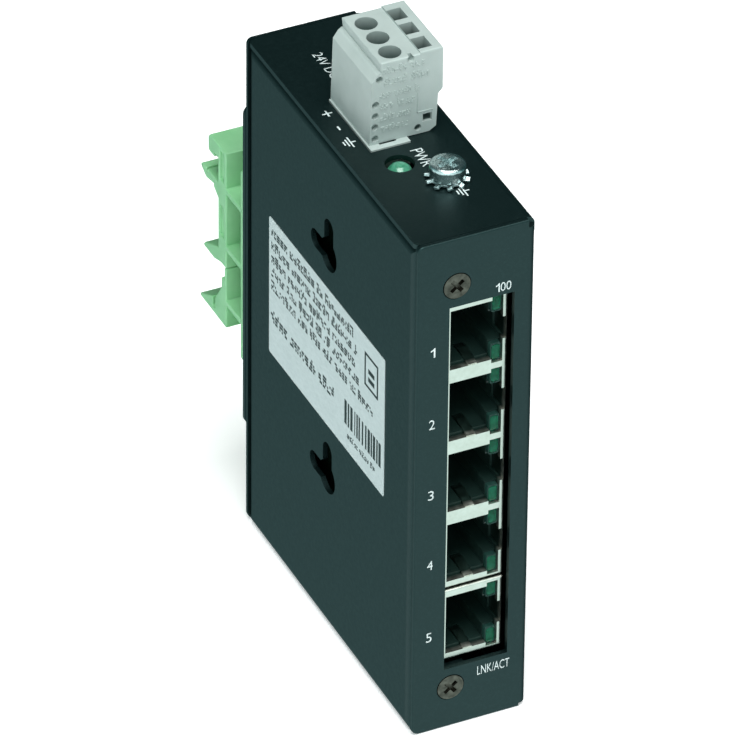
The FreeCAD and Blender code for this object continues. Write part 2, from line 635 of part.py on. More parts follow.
def plate_screw(z):
    """Countersunk M3 screw that holds the back plate."""
    head = Part.makeCone(M3_R, CSK_HEAD_R, PLATE_T, V(0, BACK, z), V(0, 1, 0))
    shank = rod((0, BACK - 4, z), (0, 1, 0), M3_R, 4)
    recess = cross_recess((0, BACK + PLATE_T, z), (0, 1, 0), 3.0, 0.9)
    return head.fuse(shank).removeSplitter().cut(recess)


def foot_screw(z):
    """Pan-head M3 screw that holds the rail foot."""
    y = FOOT_Y0 + FOOT_BASE_T
    head = rod((0, y, z), (0, 1, 0), PAN_HEAD_R, FOOT_SCREW_HEAD)
    shank = rod((0, BACK - 3, z), (0, 1, 0), M3_R, y - BACK + 3)
    recess = cross_recess((0, y + FOOT_SCREW_HEAD, z), (0, 1, 0), 2.8, 0.8)
    return head.fuse(shank).removeSplitter().cut(recess)


def rail_foot():
    """Green foot: base strip, shelves, upright web, and hooks for two rail sizes."""
    x0 = -FOOT_HALF_W
    x1 = FOOT_HALF_W
    base_back = FOOT_Y0 + FOOT_BASE_T
    base = box(x0, x1, FOOT_Y0, base_back, FOOT_BASE_Z0, FOOT_BASE_Z1)
    base = round_edges(base, 0.6, lambda c, d: along_x(d) and c.y > base_back - 0.1)
    web = box(x0, x1, WEB_Y0, WEB_Y1, WEB_FOOT, WEB_TOP)
    f = FRONT
    block = prism_x([(WEB_Y0, 74.3), (f + 88.4, 74.3), (f + 88.4, 73.5), (f + 90.7, 73.5), (f + 91.1, 74.0),
                     (f + 91.1, 76.6), (f + 90.4, WEB_TOP), (WEB_Y0, WEB_TOP)], x0, x1)
    hook = prism_x([(WEB_Y0 + 1, 68.9), (f + 91.6, 68.9), (f + 91.6, 68.1), (f + 92.1, 68.1),
                    (f + 92.1, 68.9), (f + 93.6, 68.9), (f + 94.5, 68.4), (f + 94.3, 67.8), (f + 92.1, 66.6),
                    (f + 88.8, 67.3), (f + 88.8, 66.7), (WEB_Y1 - 0.2, 65.2), (WEB_Y0 + 1, 65.2)], x0, x1)
    claw = prism_x([(WEB_Y0 + 1, 54.2), (WEB_Y1, 54.2), (f + 92.8, 51.4), (f + 93.4, 50.8), (f + 93.1, 50.4),
                    (f + 88.6, 50.4), (f + 85.4, WEB_FOOT), (WEB_Y0 + 1, WEB_FOOT)], x0, x1)
    shelves = [box(x0, x1, base_back - 0.5, WEB_Y0 + 0.5, top - SHELF_T, top) for top in SHELF_TOPS]
    body = fuse([base, web, block, hook, claw] + shelves)
    cuts = [rod((0, STEM_Y, SHELF_TOPS[1] - 3), (0, 0, 1), STEM_R + 0.25, 5)]
    for z in FOOT_SCREW_Z:
        cuts.append(rod((0, FOOT_Y0 - 1, z), (0, 1, 0), M3_HOLE_R, 4))
    for side in (-1, 1):
        face = side * FOOT_HALF_W
        lo = min(face, face - side * 0.6)
        for z0, z1 in ((57.6, 64.4), (70.2, 76.6)):
            cuts.append(box(lo, lo + 0.6, WEB_Y0 + 1.0, WEB_Y1 - 0.8, z0, z1))
    return cut(body, cuts)


def rail_latch():
    """Sliding lower jaw with a ramped finger, a slot for the rail's lip and a guide stem."""
    x0 = -FOOT_HALF_W
    x1 = FOOT_HALF_W
    f = FRONT
    jaw = prism_x([(WEB_Y0, 37.8), (f + 94.7, 37.8), (f + 95.1, 38.3), (f + 89.4, 41.2), (f + 89.4, 39.0),
                   (f + 88.2, 39.0), (f + 88.2, 41.6), (f + 85.3, 46.0), (f + 85.2, 48.3), (f + 83.9, 48.3),
                   (f + 83.9, WEB_FOOT - 0.2), (WEB_Y0, WEB_FOOT - 0.2)], x0, x1)
    guide = FOOT_Y0 + FOOT_BASE_T + 0.3
    shelf = box(x0, x1, guide, WEB_Y0 + 0.5, LATCH_SHELF_TOP - SHELF_T, LATCH_SHELF_TOP)
    stem = rod((0, STEM_Y, LATCH_SHELF_TOP - 0.5), (0, 0, 1), STEM_R, STEM_TOP - LATCH_SHELF_TOP + 0.5)
    head = rod((0, STEM_Y, STEM_TOP - 1.2), (0, 0, 1), 2.5, 1.2)
    return fuse([jaw, shelf, stem, head])


def latch_spring():
    z0 = SHELF_TOPS[1] + SPRING_WIRE_R + 0.02
    z1 = STEM_TOP - 1.2 - SPRING_WIRE_R - 0.02
    pitch = (z1 - z0) / SPRING_TURNS
    path = Part.makeHelix(pitch, z1 - z0, SPRING_R)
    section = Part.Wire(Part.makeCircle(SPRING_WIRE_R, V(SPRING_R, 0, 0), V(0, 1, 0)))
    coil = Part.Wire(path).makePipeShell([section], True, True)
    coil.translate(V(0, STEM_Y, z0))
    return coil


def rating_label():
    label = box(LEFT - LABEL_T, LEFT, LABEL_Y0, LABEL_Y1, LABEL_Z0, LABEL_Z1)
    return round_edges(label, 0.8, lambda c, d: along_x(d))


# ---------------------------------------------------------------- all nodes
def build():
    nodes["chassis"] = chassis()
    nodes["side_cover"] = side_cover()
    nodes["cover_screws"] = Part.makeCompound([cover_screw(z) for z in COVER_SCREW_Z])
    nodes["main_pcb"] = main_pcb()
    nodes["board_standoffs"] = Part.makeCompound([standoff(y, z) for y, z in STANDOFF_AT])
    nodes["board_screws"] = Part.makeCompound([board_screw(y, z) for y, z in STANDOFF_AT])
    board_parts()
    nodes["quad_jack_shield"] = jack_shield(PORT_Z[:4])
    nodes["single_jack_shield"] = jack_shield(PORT_Z[4:])
    for k, z in enumerate(PORT_Z):
        nodes["jack_insert_%d" % (k + 1)] = jack_insert(z)
        nodes["jack_contacts_%d" % (k + 1)] = jack_contacts(z)
        nodes["port_lenses_%d" % (k + 1)] = port_lenses(z)
    nodes["terminal_header"] = terminal_header()
    nodes["header_pins"] = Part.makeCompound([header_pin(y) for y in POLE_Y])
    nodes["terminal_plug"] = plug_housing()
    nodes["plug_forks"] = Part.makeCompound([plug_fork(y) for y in POLE_Y])
    for k, y in enumerate(POLE_Y):
        nodes["clamp_screw_%d" % (k + 1)] = clamp_screw(y)
        nodes["clamp_block_%d" % (k + 1)] = clamp_block(y)
    nodes["power_light"] = power_light()
    nodes["light_holder"] = light_holder()
    nodes["ground_screw"] = ground_screw()
    nodes["lock_washer"] = lock_washer()
    nodes["ground_nut"] = ground_nut()
    nodes["mounting_plate"] = mounting_plate()
    nodes["plate_screws"] = Part.makeCompound([plate_screw(z) for z in PLATE_SCREW_Z])
    nodes["foot_screws"] = Part.makeCompound([foot_screw(z) for z in FOOT_SCREW_Z])
    nodes["rail_foot"] = rail_foot()
    nodes["rail_latch"] = rail_latch()
    nodes["latch_spring"] = latch_spring()
    nodes["rating_label"] = rating_label()


build()
os.makedirs(OUT, exist_ok=True)
for name, shape in nodes.items():
    if not shape.isValid():
        print("not valid:", name)
    shape.exportStep(os.path.join(OUT, name + ".step"))
print("nodes:", len(nodes))
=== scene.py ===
"""Looks for the slim rail-mounted network switch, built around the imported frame."""

import math
import random

import bmesh
import bpy
from mathutils import Matrix, Vector


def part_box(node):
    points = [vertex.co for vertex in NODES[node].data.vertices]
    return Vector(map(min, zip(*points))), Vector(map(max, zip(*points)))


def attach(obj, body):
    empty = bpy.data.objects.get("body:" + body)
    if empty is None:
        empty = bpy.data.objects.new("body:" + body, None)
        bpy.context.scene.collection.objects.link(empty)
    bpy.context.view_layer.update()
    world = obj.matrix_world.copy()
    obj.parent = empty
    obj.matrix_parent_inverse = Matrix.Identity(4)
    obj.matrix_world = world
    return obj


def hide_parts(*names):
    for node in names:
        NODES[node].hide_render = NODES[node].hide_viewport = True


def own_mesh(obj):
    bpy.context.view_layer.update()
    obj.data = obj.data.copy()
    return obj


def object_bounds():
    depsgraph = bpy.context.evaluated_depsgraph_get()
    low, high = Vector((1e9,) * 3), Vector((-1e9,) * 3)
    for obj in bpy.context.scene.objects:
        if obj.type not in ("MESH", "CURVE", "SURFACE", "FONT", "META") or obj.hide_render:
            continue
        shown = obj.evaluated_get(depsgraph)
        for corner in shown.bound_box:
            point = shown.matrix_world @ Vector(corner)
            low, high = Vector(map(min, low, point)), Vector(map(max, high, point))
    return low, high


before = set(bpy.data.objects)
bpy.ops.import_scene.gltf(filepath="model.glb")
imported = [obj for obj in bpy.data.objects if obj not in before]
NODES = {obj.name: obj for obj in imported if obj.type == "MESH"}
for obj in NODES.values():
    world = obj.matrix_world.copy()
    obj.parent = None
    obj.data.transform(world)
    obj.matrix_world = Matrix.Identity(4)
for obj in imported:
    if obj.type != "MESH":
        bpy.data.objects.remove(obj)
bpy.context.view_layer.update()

MM = 0.001
INK = 0.012 * MM
ROUND_STEPS = 5
MIX_A, MIX_B, MIX_RESULT = 6, 7, 2  # the colour sockets of a Mix node

# ---------------------------------------------------------------- camera, floor and light

CAMERA_AZIMUTH = math.radians(25.31)
CAMERA_ELEVATION = math.radians(35.86)
CAMERA_ROLL = math.radians(0.57)
CAMERA_DISTANCE = 1621.88 * MM
CAMERA_TARGET = Vector((-13.67, -20.90, 73.447)) * MM
CAMERA_LENS = 441.1
CAMERA_REACH = (0.01, 20.0)
SENSOR = 36.0


def make_camera():
    """The camera stands in front, to the left and above, and looks at a point on the case."""
    back = Vector((
        -math.sin(CAMERA_AZIMUTH) * math.cos(CAMERA_ELEVATION),
        -math.cos(CAMERA_AZIMUTH) * math.cos(CAMERA_ELEVATION),
        math.sin(CAMERA_ELEVATION),
    ))
    level_right = Vector((math.cos(CAMERA_AZIMUTH), -math.sin(CAMERA_AZIMUTH), 0.0))
    level_up = back.cross(level_right)
    right = level_right * math.cos(CAMERA_ROLL) + level_up * math.sin(CAMERA_ROLL)
    up = back.cross(right)
    data = bpy.data.cameras.new("camera")
    data.sensor_fit = "HORIZONTAL"
    data.sensor_width = SENSOR
    data.lens = CAMERA_LENS
    data.clip_start, data.clip_end = CAMERA_REACH
    camera = bpy.data.objects.new("camera", data)
    bpy.context.scene.collection.objects.link(camera)
    turn = Matrix((right, up, back)).transposed().to_4x4()
    camera.matrix_world = Matrix.Translation(CAMERA_TARGET + back * CAMERA_DISTANCE) @ turn
    bpy.context.scene.camera = camera


def area_light(name, place, target, size, power, colour):
    """A rectangular lamp at place that shines at target."""
    data = bpy.data.lights.new(name, "AREA")
    data.shape = "RECTANGLE"
    data.size, data.size_y = size
    data.energy = power
    data.color = colour
    light = bpy.data.objects.new(name, data)
    bpy.context.scene.collection.objects.link(light)
    light.location = place
    look = Vector(target) - Vector(place)
    light.rotation_euler = look.to_track_quat("-Z", "Y").to_euler()


FLOOR_RADIUS = 6.0
FLOOR_SIDES = 96
FLOOR_DROP = 0.02 * MM
FLOOR_WHITE = (0.97, 0.94, 0.94, 1)
FLOOR_GLOW = 0.36
FLOOR_ROUGH = 0.85
LIGHT_TARGET = (0.0, 0.0, 0.05)
LIGHTS = (
    # name, place, side, power, colour
    ("key", (-0.9, -1.4, 1.7), 1.2, 5.0, (0.94, 1.0, 0.99)),
    ("top", (-0.12, -0.48, 2.15), 1.6, 54.0, (0.96, 1.0, 0.985)),
    ("rim", (0.75, -1.25, 1.6), 0.35, 1.6, (0.95, 1.0, 1.0)),
)


def make_floor():
    """A pale floor that runs out of sight, which the object's gloss does not mirror."""
    mesh = bpy.data.meshes.new("floor")
    disc = bmesh.new()
    bmesh.ops.create_circle(disc, cap_ends=True, radius=FLOOR_RADIUS, segments=FLOOR_SIDES)
    disc.to_mesh(mesh)
    disc.free()
    floor = bpy.data.objects.new("floor", mesh)
    floor.location.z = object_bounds()[0][2] - FLOOR_DROP
    floor.visible_glossy = False
    bpy.context.scene.collection.objects.link(floor)
    mat = bpy.data.materials.new("floor_white")
    mat.use_nodes = True
    shader = mat.node_tree.nodes["Principled BSDF"]
    shader.inputs["Base Color"].default_value = FLOOR_WHITE
    shader.inputs["Roughness"].default_value = FLOOR_ROUGH
    shader.inputs["Emission Color"].default_value = (1, 1, 1, 1)
    shader.inputs["Emission Strength"].default_value = FLOOR_GLOW
    mesh.materials.append(mat)


def make_studio():
    """The floor, a key light, a large top light, a small rim light and a soft sky."""
    bpy.context.scene.view_settings.view_transform = "Standard"
    bpy.context.scene.view_settings.look = "None"
    make_floor()
    for name, place, side, power, colour in LIGHTS:
        area_light(name, place, LIGHT_TARGET, (side, side), power, colour)
    make_sky()


SKY_BRIGHT_SIDE = (-0.5, -0.72, -0.48)
SKY_SPAN = (-0.42, 0.62)
SKY_STRENGTH = (0.05, 1.25)
SKY_FAR_COLOUR = (0.36, 1.0, 1.02, 1)
SKY_NEAR_COLOUR = (0.78, 1.0, 1.0, 1)
SKY_DIFFUSE_SHARE = 0.42
BACKDROP = (0.94, 0.96, 0.96, 1)


def make_sky():
    """Soft light, brightest low in front and falling away behind; the backdrop itself is plain."""
    world = bpy.data.worlds.new("studio")
    bpy.context.scene.world = world
    world.use_nodes = True
    tree = world.node_tree
    coords = tree.nodes.new("ShaderNodeTexCoord")
    dot = tree.nodes.new("ShaderNodeVectorMath")
    dot.operation = "DOT_PRODUCT"
    dot.inputs[1].default_value = Vector(SKY_BRIGHT_SIDE).normalized()
    tree.links.new(coords.outputs["Generated"], dot.inputs[0])
    span = tree.nodes.new("ShaderNodeMapRange")
    span.interpolation_type = "SMOOTHSTEP"
    span.inputs["From Min"].default_value = SKY_SPAN[0]
    span.inputs["From Max"].default_value = SKY_SPAN[1]
    span.inputs["To Min"].default_value = SKY_STRENGTH[0]
    span.inputs["To Max"].default_value = SKY_STRENGTH[1]
    tree.links.new(dot.outputs["Value"], span.inputs["Value"])
    soft = tree.nodes["Background"]
    hue = tree.nodes.new("ShaderNodeMix")
    hue.data_type = "RGBA"
    hue.inputs[MIX_A].default_value = SKY_FAR_COLOUR
    hue.inputs[MIX_B].default_value = SKY_NEAR_COLOUR
    tree.links.new(span.outputs["Result"], hue.inputs[0])
    tree.links.new(hue.outputs[MIX_RESULT], soft.inputs["Color"])
    path = tree.nodes.new("ShaderNodeLightPath")
    share = tree.nodes.new("ShaderNodeMapRange")
    share.inputs["To Min"].default_value = 1.0
    share.inputs["To Max"].default_value = SKY_DIFFUSE_SHARE
    tree.links.new(path.outputs["Is Diffuse Ray"], share.inputs["Value"])
    strength = tree.nodes.new("ShaderNodeMath")
    strength.operation = "MULTIPLY"
    tree.links.new(span.outputs["Result"], strength.inputs[0])
    tree.links.new(share.outputs["Result"], strength.inputs[1])
    tree.links.new(strength.outputs["Value"], soft.inputs["Strength"])
    plain = tree.nodes.new("ShaderNodeBackground")
    plain.inputs["Color"].default_value = BACKDROP
    either = tree.nodes.new("ShaderNodeMixShader")
    tree.links.new(path.outputs["Is Camera Ray"], either.inputs["Fac"])
    tree.links.new(soft.outputs["Background"], either.inputs[1])
    tree.links.new(plain.outputs["Background"], either.inputs[2])
    tree.links.new(either.outputs["Shader"], tree.nodes["World Output"].inputs["Surface"])


# ---------------------------------------------------------------- materials

class Look:
    """A node material with its shader, and short ways to add texture to it."""

    def __init__(self, name, rough=0.5, metal=0.0, specular=0.5):
        """Starts a plain material; place is its object coordinates."""
        self.mat = bpy.data.materials.new(name)
        self.mat.use_nodes = True
        self.tree = self.mat.node_tree
        self.shader = self.tree.nodes["Principled BSDF"]
        self.shader.inputs["Metallic"].default_value = metal
        self.shader.inputs["Roughness"].default_value = rough
        self.shader.inputs["Specular IOR Level"].default_value = specular
        self.place = self.tree.nodes.new("ShaderNodeTexCoord").outputs["Object"]
        self.normal = None

    def link(self, out, socket):
        """Feeds one node's output to another node's input."""
        self.tree.links.new(out, socket)

    def stretched(self, x=1.0, y=1.0, z=1.0):
        """Object coordinates scaled along each axis, for brushed or drawn grain."""
        node = self.tree.nodes.new("ShaderNodeMapping")
        node.inputs["Scale"].default_value = (x, y, z)
        self.link(self.place, node.inputs["Vector"])
        return node.outputs["Vector"]

    def noise(self, size, detail=3.0, rough=0.55, place=None):
        """Noise whose blobs are about size millimetres across."""
        node = self.tree.nodes.new("ShaderNodeTexNoise")
        node.inputs["Scale"].default_value = 1.0 / (size * MM)
        node.inputs["Detail"].default_value = detail
        node.inputs["Roughness"].default_value = rough
        self.link(place or self.place, node.inputs["Vector"])
        return node.outputs["Fac"]

    def remap(self, fac, low, high, from_low=0.3, from_high=0.7):
        """Spreads from_low..from_high over low..high."""
        node = self.tree.nodes.new("ShaderNodeMapRange")
        node.inputs["From Min"].default_value = from_low
        node.inputs["From Max"].default_value = from_high
        node.inputs["To Min"].default_value = low
        node.inputs["To Max"].default_value = high
        self.link(fac, node.inputs["Value"])
        return node.outputs["Result"]

    def mix(self, fac, a, b):
        """Goes from colour a to colour b as fac goes from 0 to 1."""
        node = self.tree.nodes.new("ShaderNodeMix")
        node.data_type = "RGBA"
        for socket, value in zip((node.inputs[MIX_A], node.inputs[MIX_B]), (a, b)):
            if isinstance(value, tuple):
                socket.default_value = (*value, 1.0)
            else:
                self.link(value, socket)
        if isinstance(fac, float):
            node.inputs[0].default_value = fac
        else:
            self.link(fac, node.inputs[0])
        return node.outputs[MIX_RESULT]

    def axes(self):
        """Object coordinates as outputs named X, Y and Z."""
        node = self.tree.nodes.new("ShaderNodeSeparateXYZ")
        self.link(self.place, node.inputs["Vector"])
        return node.outputs

    def times(self, a, b):
        """The product of two outputs."""
        node = self.tree.nodes.new("ShaderNodeMath")
        node.operation = "MULTIPLY"
        self.link(a, node.inputs[0])
        self.link(b, node.inputs[1])
        return node.outputs["Value"]

    def colour(self, out):
        """Takes the shader's base colour from an output."""
        self.link(out, self.shader.inputs["Base Color"])

    def roughness(self, out):
        """Takes the shader's roughness from an output."""
        self.link(out, self.shader.inputs["Roughness"])

    def bump(self, height, depth, strength=1.0):
        """Adds relief that is about depth millimetres deep."""
        node = self.tree.nodes.new("ShaderNodeBump")
        node.inputs["Strength"].default_value = strength
        node.inputs["Distance"].default_value = depth * MM
        self.link(height, node.inputs["Height"])
        if self.normal:
            self.link(self.normal, node.inputs["Normal"])
        self.normal = node.outputs["Normal"]
        self.link(self.normal, self.shader.inputs["Normal"])


METAL_DRIFT = 1.2
PLASTIC_DRIFT = 6.0


def paint_look():
    """Black powder coat with a fine orange-peel skin."""
    look = Look("case_powder_coat")
    speck = look.noise(0.35, detail=2.0)
    cloud = look.noise(38.0)
    base = look.mix(look.remap(cloud, 0.0, 1.0), (0.0008, 0.0030, 0.0031), (0.0012, 0.0040, 0.0041))
    look.colour(look.mix(look.remap(speck, 0.0, 0.4, 0.5, 0.8), base, (0.010, 0.022, 0.022)))
    look.shader.inputs["Specular Tint"].default_value = (0.58, 1.0, 1.0, 1.0)
    look.roughness(look.remap(look.noise(0.8), 0.40, 0.48))
    look.bump(look.noise(0.9, detail=1.0), 0.008, 0.35)
    return look.mat


def metal_look(name, dark, light, rough, grain, depth):
    """A metal whose colour and gloss drift a little, with a fine grain."""
    look = Look(name, metal=1.0)
    look.colour(look.mix(look.remap(look.noise(METAL_DRIFT), 0.0, 1.0), dark, light))
    look.roughness(look.remap(look.noise(grain * 2.0), rough * 0.8, rough * 1.25))
    look.bump(look.noise(grain), depth, 0.6)
    return look.mat


# where the painted shade inside the shield begins, and where it is full
TIN_SHADE_START, TIN_SHADE_FULL = 0.5 * MM, 1.4 * MM


def tin_look():
    """Tinned shield, bright on its front rim and darkened by painted shade further into the socket."""
    look = Look("tinned_shield", metal=1.0)
    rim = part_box("quad_jack_shield")[0].y
    depth = look.remap(look.axes()["Y"], 0.0, 1.0, rim + TIN_SHADE_START, rim + TIN_SHADE_FULL)
    drift = look.remap(look.noise(METAL_DRIFT), 0.0, 1.0)
    bright = look.mix(drift, (0.66, 0.65, 0.575), (0.78, 0.77, 0.70))
    # painted shade: deeper in, the tin is mixed towards a dark green-black
    look.colour(look.mix(depth, bright, (0.07, 0.13, 0.11)))
    look.roughness(look.remap(look.noise(METAL_DRIFT), 0.32, 0.46))
    look.bump(look.noise(0.6), 0.008, 0.6)
    return look.mat


def plastic_look(name, dark, light, rough, grain, depth, soft=0.0, specular=0.5):
    """Moulded plastic with a spark-eroded grain and a slight drift of shade."""
    look = Look(name, specular=specular)
    look.colour(look.mix(look.remap(look.noise(PLASTIC_DRIFT), 0.0, 1.0), dark, light))
    look.roughness(look.remap(look.noise(grain * 3.0), rough * 0.88, rough * 1.12))
    look.bump(look.noise(grain, detail=2.0), depth, 0.5)
    if soft:
        look.shader.inputs["Subsurface Weight"].default_value = soft
        look.shader.inputs["Subsurface Radius"].default_value = (0.6, 1.0, 0.8)
        look.shader.inputs["Subsurface Scale"].default_value = 0.8 * MM
    return look.mat


# the box of painted shade over the clamp wells: its margins, its top and how far down it fades
WELL_MARGIN = 0.3 * MM
WELL_WALL = 0.6 * MM
WELL_TOP = 0.25 * MM
WELL_FADE = 2.6 * MM
WELL_EDGE = 0.01 * MM


def terminal_look():
    """Grey polyamide with painted shade: it is dark within a box through the middle of the plug.

    The box holds the clamp wells and wire entries, whose shade is painted into the colour. It has no
    lower end, so the painted shade also darkens the lower part of the plug's right side, which is set
    back, and part of the nose below the plug.
    """
    look = Look("terminal_polyamide")
    plug_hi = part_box("terminal_plug")[1]
    well_lo, well_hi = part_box("clamp_screw_1")
    far_lo, far_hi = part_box("clamp_screw_3")
    span_x = (well_lo.x - WELL_MARGIN, plug_hi.x - WELL_WALL)
    span_y = (min(well_lo.y, far_lo.y) - WELL_MARGIN, max(well_hi.y, far_hi.y) + WELL_MARGIN)
    top = plug_hi.z - WELL_TOP
    place = look.axes()
    painted_well_shade = look.remap(place["Z"], 0.0, 1.0, top, top - WELL_FADE)
    for axis, (low, high) in (("X", span_x), ("Y", span_y)):
        for start, end in ((low, low + WELL_EDGE), (high, high - WELL_EDGE)):
            painted_well_shade = look.times(painted_well_shade, look.remap(place[axis], 0.0, 1.0, start, end))
    drift = look.remap(look.noise(PLASTIC_DRIFT), 0.0, 1.0)
    plain = look.mix(drift, (0.435, 0.495, 0.475), (0.495, 0.555, 0.535))
    # painted shade: inside the box the grey turns dark, standing in for shade down in the wells
    look.colour(look.mix(painted_well_shade, plain, (0.10, 0.145, 0.135)))
    look.roughness(look.remap(look.noise(1.05), 0.44, 0.56))
    look.bump(look.noise(0.35, detail=2.0), 0.012, 0.5)
    return look.mat


def lens_look(name, dark, light, painted_glow, specular=0.18):
    """Clear green plastic over an unlit lamp, which can be given a faint painted glow."""
    look = Look(name, rough=0.22, specular=specular)
    look.colour(look.mix(look.remap(look.noise(0.9), 0.0, 1.0), dark, light))
    look.shader.inputs["Subsurface Weight"].default_value = 0.4
    look.shader.inputs["Subsurface Radius"].default_value = (0.3, 1.0, 0.6)
    look.shader.inputs["Subsurface Scale"].default_value = 1.0 * MM
    # painted light: a glow in the light green makes the unlit lamp look lit
    look.shader.inputs["Emission Color"].default_value = (*light, 1.0)
    look.shader.inputs["Emission Strength"].default_value = painted_glow
    look.bump(look.noise(0.5), 0.01, 0.3)
    return look.mat


def board_look():
    """Green solder mask over copper tracks."""
    look = Look("board_mask", rough=0.5, specular=0.2)
    tracks = look.tree.nodes.new("ShaderNodeTexBrick")
    tracks.inputs["Scale"].default_value = 1.0 / (5.0 * MM)
    tracks.inputs["Color1"].default_value = (0.0006, 0.004, 0.002, 1)
    tracks.inputs["Color2"].default_value = (0.0008, 0.005, 0.0025, 1)
    tracks.inputs["Mortar"].default_value = (0.002, 0.012, 0.006, 1)
    tracks.inputs["Mortar Size"].default_value = 0.05
    turned = look.tree.nodes.new("ShaderNodeMapping")
    turned.inputs["Rotation"].default_value = (0, math.radians(90), 0)
    look.link(look.place, turned.inputs["Vector"])
    look.link(turned.outputs["Vector"], tracks.inputs["Vector"])
    cloud = look.remap(look.noise(8.0), 0.0, 0.4)
    look.colour(look.mix(cloud, tracks.outputs["Color"], (0.0004, 0.003, 0.0015)))
    look.bump(tracks.outputs["Fac"], 0.03, 0.4)
    return look.mat


def ink_look(name, dark, light):
    """Screen-printed ink, a little uneven."""
    look = Look(name, rough=0.55)
    look.colour(look.mix(look.remap(look.noise(0.4), 0.0, 1.0), dark, light))
    look.bump(look.noise(0.15), 0.004, 0.5)
    return look.mat


def paper_look():
    """A matt film label with a faint fibre."""
    look = Look("label_film", rough=0.5)
    fibre = look.noise(0.5, detail=4.0, place=look.stretched(1.0, 0.4, 1.0))
    look.colour(look.mix(look.remap(fibre, 0.0, 1.0), (0.53, 0.61, 0.615), (0.60, 0.68, 0.685)))
    look.bump(fibre, 0.006, 0.4)
    return look.mat


def make_looks():
    """Every finish by name."""
    return {
        "case_paint": paint_look(),
        "cover_screw": metal_look("burnished_steel", (0.055, 0.052, 0.042), (0.16, 0.145, 0.12),
                                  0.42, 0.35, 0.03),
        "steel": metal_look("plain_steel", (0.45, 0.47, 0.47), (0.62, 0.64, 0.64), 0.30, 0.30, 0.01),
        "zinc": metal_look("bright_zinc", (0.52, 0.60, 0.60), (0.86, 0.94, 0.94), 0.24, 0.75, 0.14),
        "washer": metal_look("dull_zinc", (0.38, 0.46, 0.46), (0.64, 0.72, 0.72), 0.34, 0.60, 0.08),
        "tin": tin_look(),
        "brass": metal_look("tinned_brass", (0.60, 0.52, 0.32), (0.80, 0.72, 0.48), 0.28, 0.40, 0.008),
        "gold": metal_look("contact_gold", (0.80, 0.55, 0.18), (0.95, 0.70, 0.28), 0.20, 0.30, 0.004),
        "can": metal_look("can_aluminium", (0.60, 0.61, 0.62), (0.78, 0.79, 0.80), 0.25, 0.80, 0.006),
        "board": board_look(),
        "chip": plastic_look("chip_resin", (0.012, 0.013, 0.014), (0.022, 0.023, 0.024), 0.55, 0.20, 0.01),
        "ferrite": plastic_look("ferrite_core", (0.028, 0.028, 0.030), (0.045, 0.045, 0.048),
                                0.7, 0.5, 0.03),
        "tan": plastic_look("ceramic_tan", (0.42, 0.28, 0.15), (0.55, 0.38, 0.22), 0.45, 0.30, 0.006),
        "blue": plastic_look("disc_blue", (0.02, 0.07, 0.24), (0.04, 0.11, 0.34), 0.35, 0.60, 0.02),
        "socket": plastic_look("socket_black", (0.006, 0.018, 0.015), (0.013, 0.032, 0.027),
                               0.42, 0.30, 0.008),
        "holder": plastic_look("holder_black", (0.006, 0.010, 0.010), (0.012, 0.018, 0.018),
                               0.5, 0.30, 0.01),
        "terminal": terminal_look(),
        "foot": plastic_look("foot_polyamide", (0.245, 0.56, 0.28), (0.31, 0.63, 0.345),
                             0.42, 0.45, 0.015, soft=0.15),
        "port_lens": lens_look("port_lens_green", (0.001, 0.058, 0.026), (0.004, 0.115, 0.060), 0.0),
        "lens_frame": plastic_look("lens_frame", (0.008, 0.032, 0.026), (0.020, 0.058, 0.048),
                                   0.35, 0.30, 0.004, soft=0.2, specular=0.2),
        # the power lamp is unlit; its 0.10 glow is painted light
        "lamp": lens_look("lamp_green", (0.025, 0.18, 0.10), (0.11, 0.38, 0.25), 0.10, specular=0.9),
        "white_ink": ink_look("white_ink", (0.62, 0.70, 0.70), (0.82, 0.88, 0.88)),
        "dark_ink": ink_look("dark_ink", (0.006, 0.014, 0.014), (0.015, 0.028, 0.028)),
        "paper": paper_look(),
    }


NODE_LOOKS = {
    "case_paint": ["chassis", "side_cover", "mounting_plate"],
    "cover_screw": ["cover_screws"],
    "steel": ["board_standoffs", "board_screws", "plate_screws", "foot_screws", "latch_spring"],
    "washer": ["lock_washer"],
    "zinc": ["ground_screw", "ground_nut", "clamp_screw_1", "clamp_screw_2", "clamp_screw_3",
             "clamp_block_1", "clamp_block_2", "clamp_block_3"],
    "tin": ["quad_jack_shield", "single_jack_shield", "plug_forks"],
    "brass": ["header_pins"],
    "can": ["clock_crystal", "bulk_capacitors"],
    "board": ["main_pcb"],
    "chip": ["switch_chip", "memory_chip", "regulator_chip", "line_transformers", "bridge_rectifier",
             "resistors"],
    "ferrite": ["power_inductor"],
    "tan": ["ceramic_capacitors", "input_fuse"],
    "blue": ["surge_suppressor"],
    "terminal": ["terminal_header", "terminal_plug"],
    "foot": ["rail_foot", "rail_latch"],
    "lamp": ["power_light"],
    "holder": ["light_holder"],
    "paper": ["rating_label"],
}
NUMBERED_LOOKS = {"socket": "jack_insert_", "gold": "jack_contacts_", "port_lens": "port_lenses_"}


def paint_nodes(looks):
    """Gives every CAD node its own finish."""
    for look, names in NODE_LOOKS.items():
        for name in names:
            set_look(NODES[name], looks[look])
    for look, stem in NUMBERED_LOOKS.items():
        for name in NODES:
            if name.startswith(stem):
                set_look(NODES[name], looks[look])


def set_look(obj, mat):
    """Puts one material in all of a node's slots."""
    if not obj.material_slots:
        obj.data.materials.append(mat)
    for slot in obj.material_slots:
        slot.material = mat


# ---------------------------------------------------------------- printed legends

def new_piece(name, bm, looks, body):
    """Makes a bmesh into a named piece that rides on a body."""
    mesh = bpy.data.meshes.new(name)
    bm.to_mesh(mesh)
    bm.free()
    piece = bpy.data.objects.new(name, mesh)
    bpy.context.scene.collection.objects.link(piece)
    for mat in looks:
        mesh.materials.append(mat)
    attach(piece, body)
    return piece


LETTER_WEIGHT = -0.003
LETTER_STEPS = 6
LETTER_JOIN = 1e-5


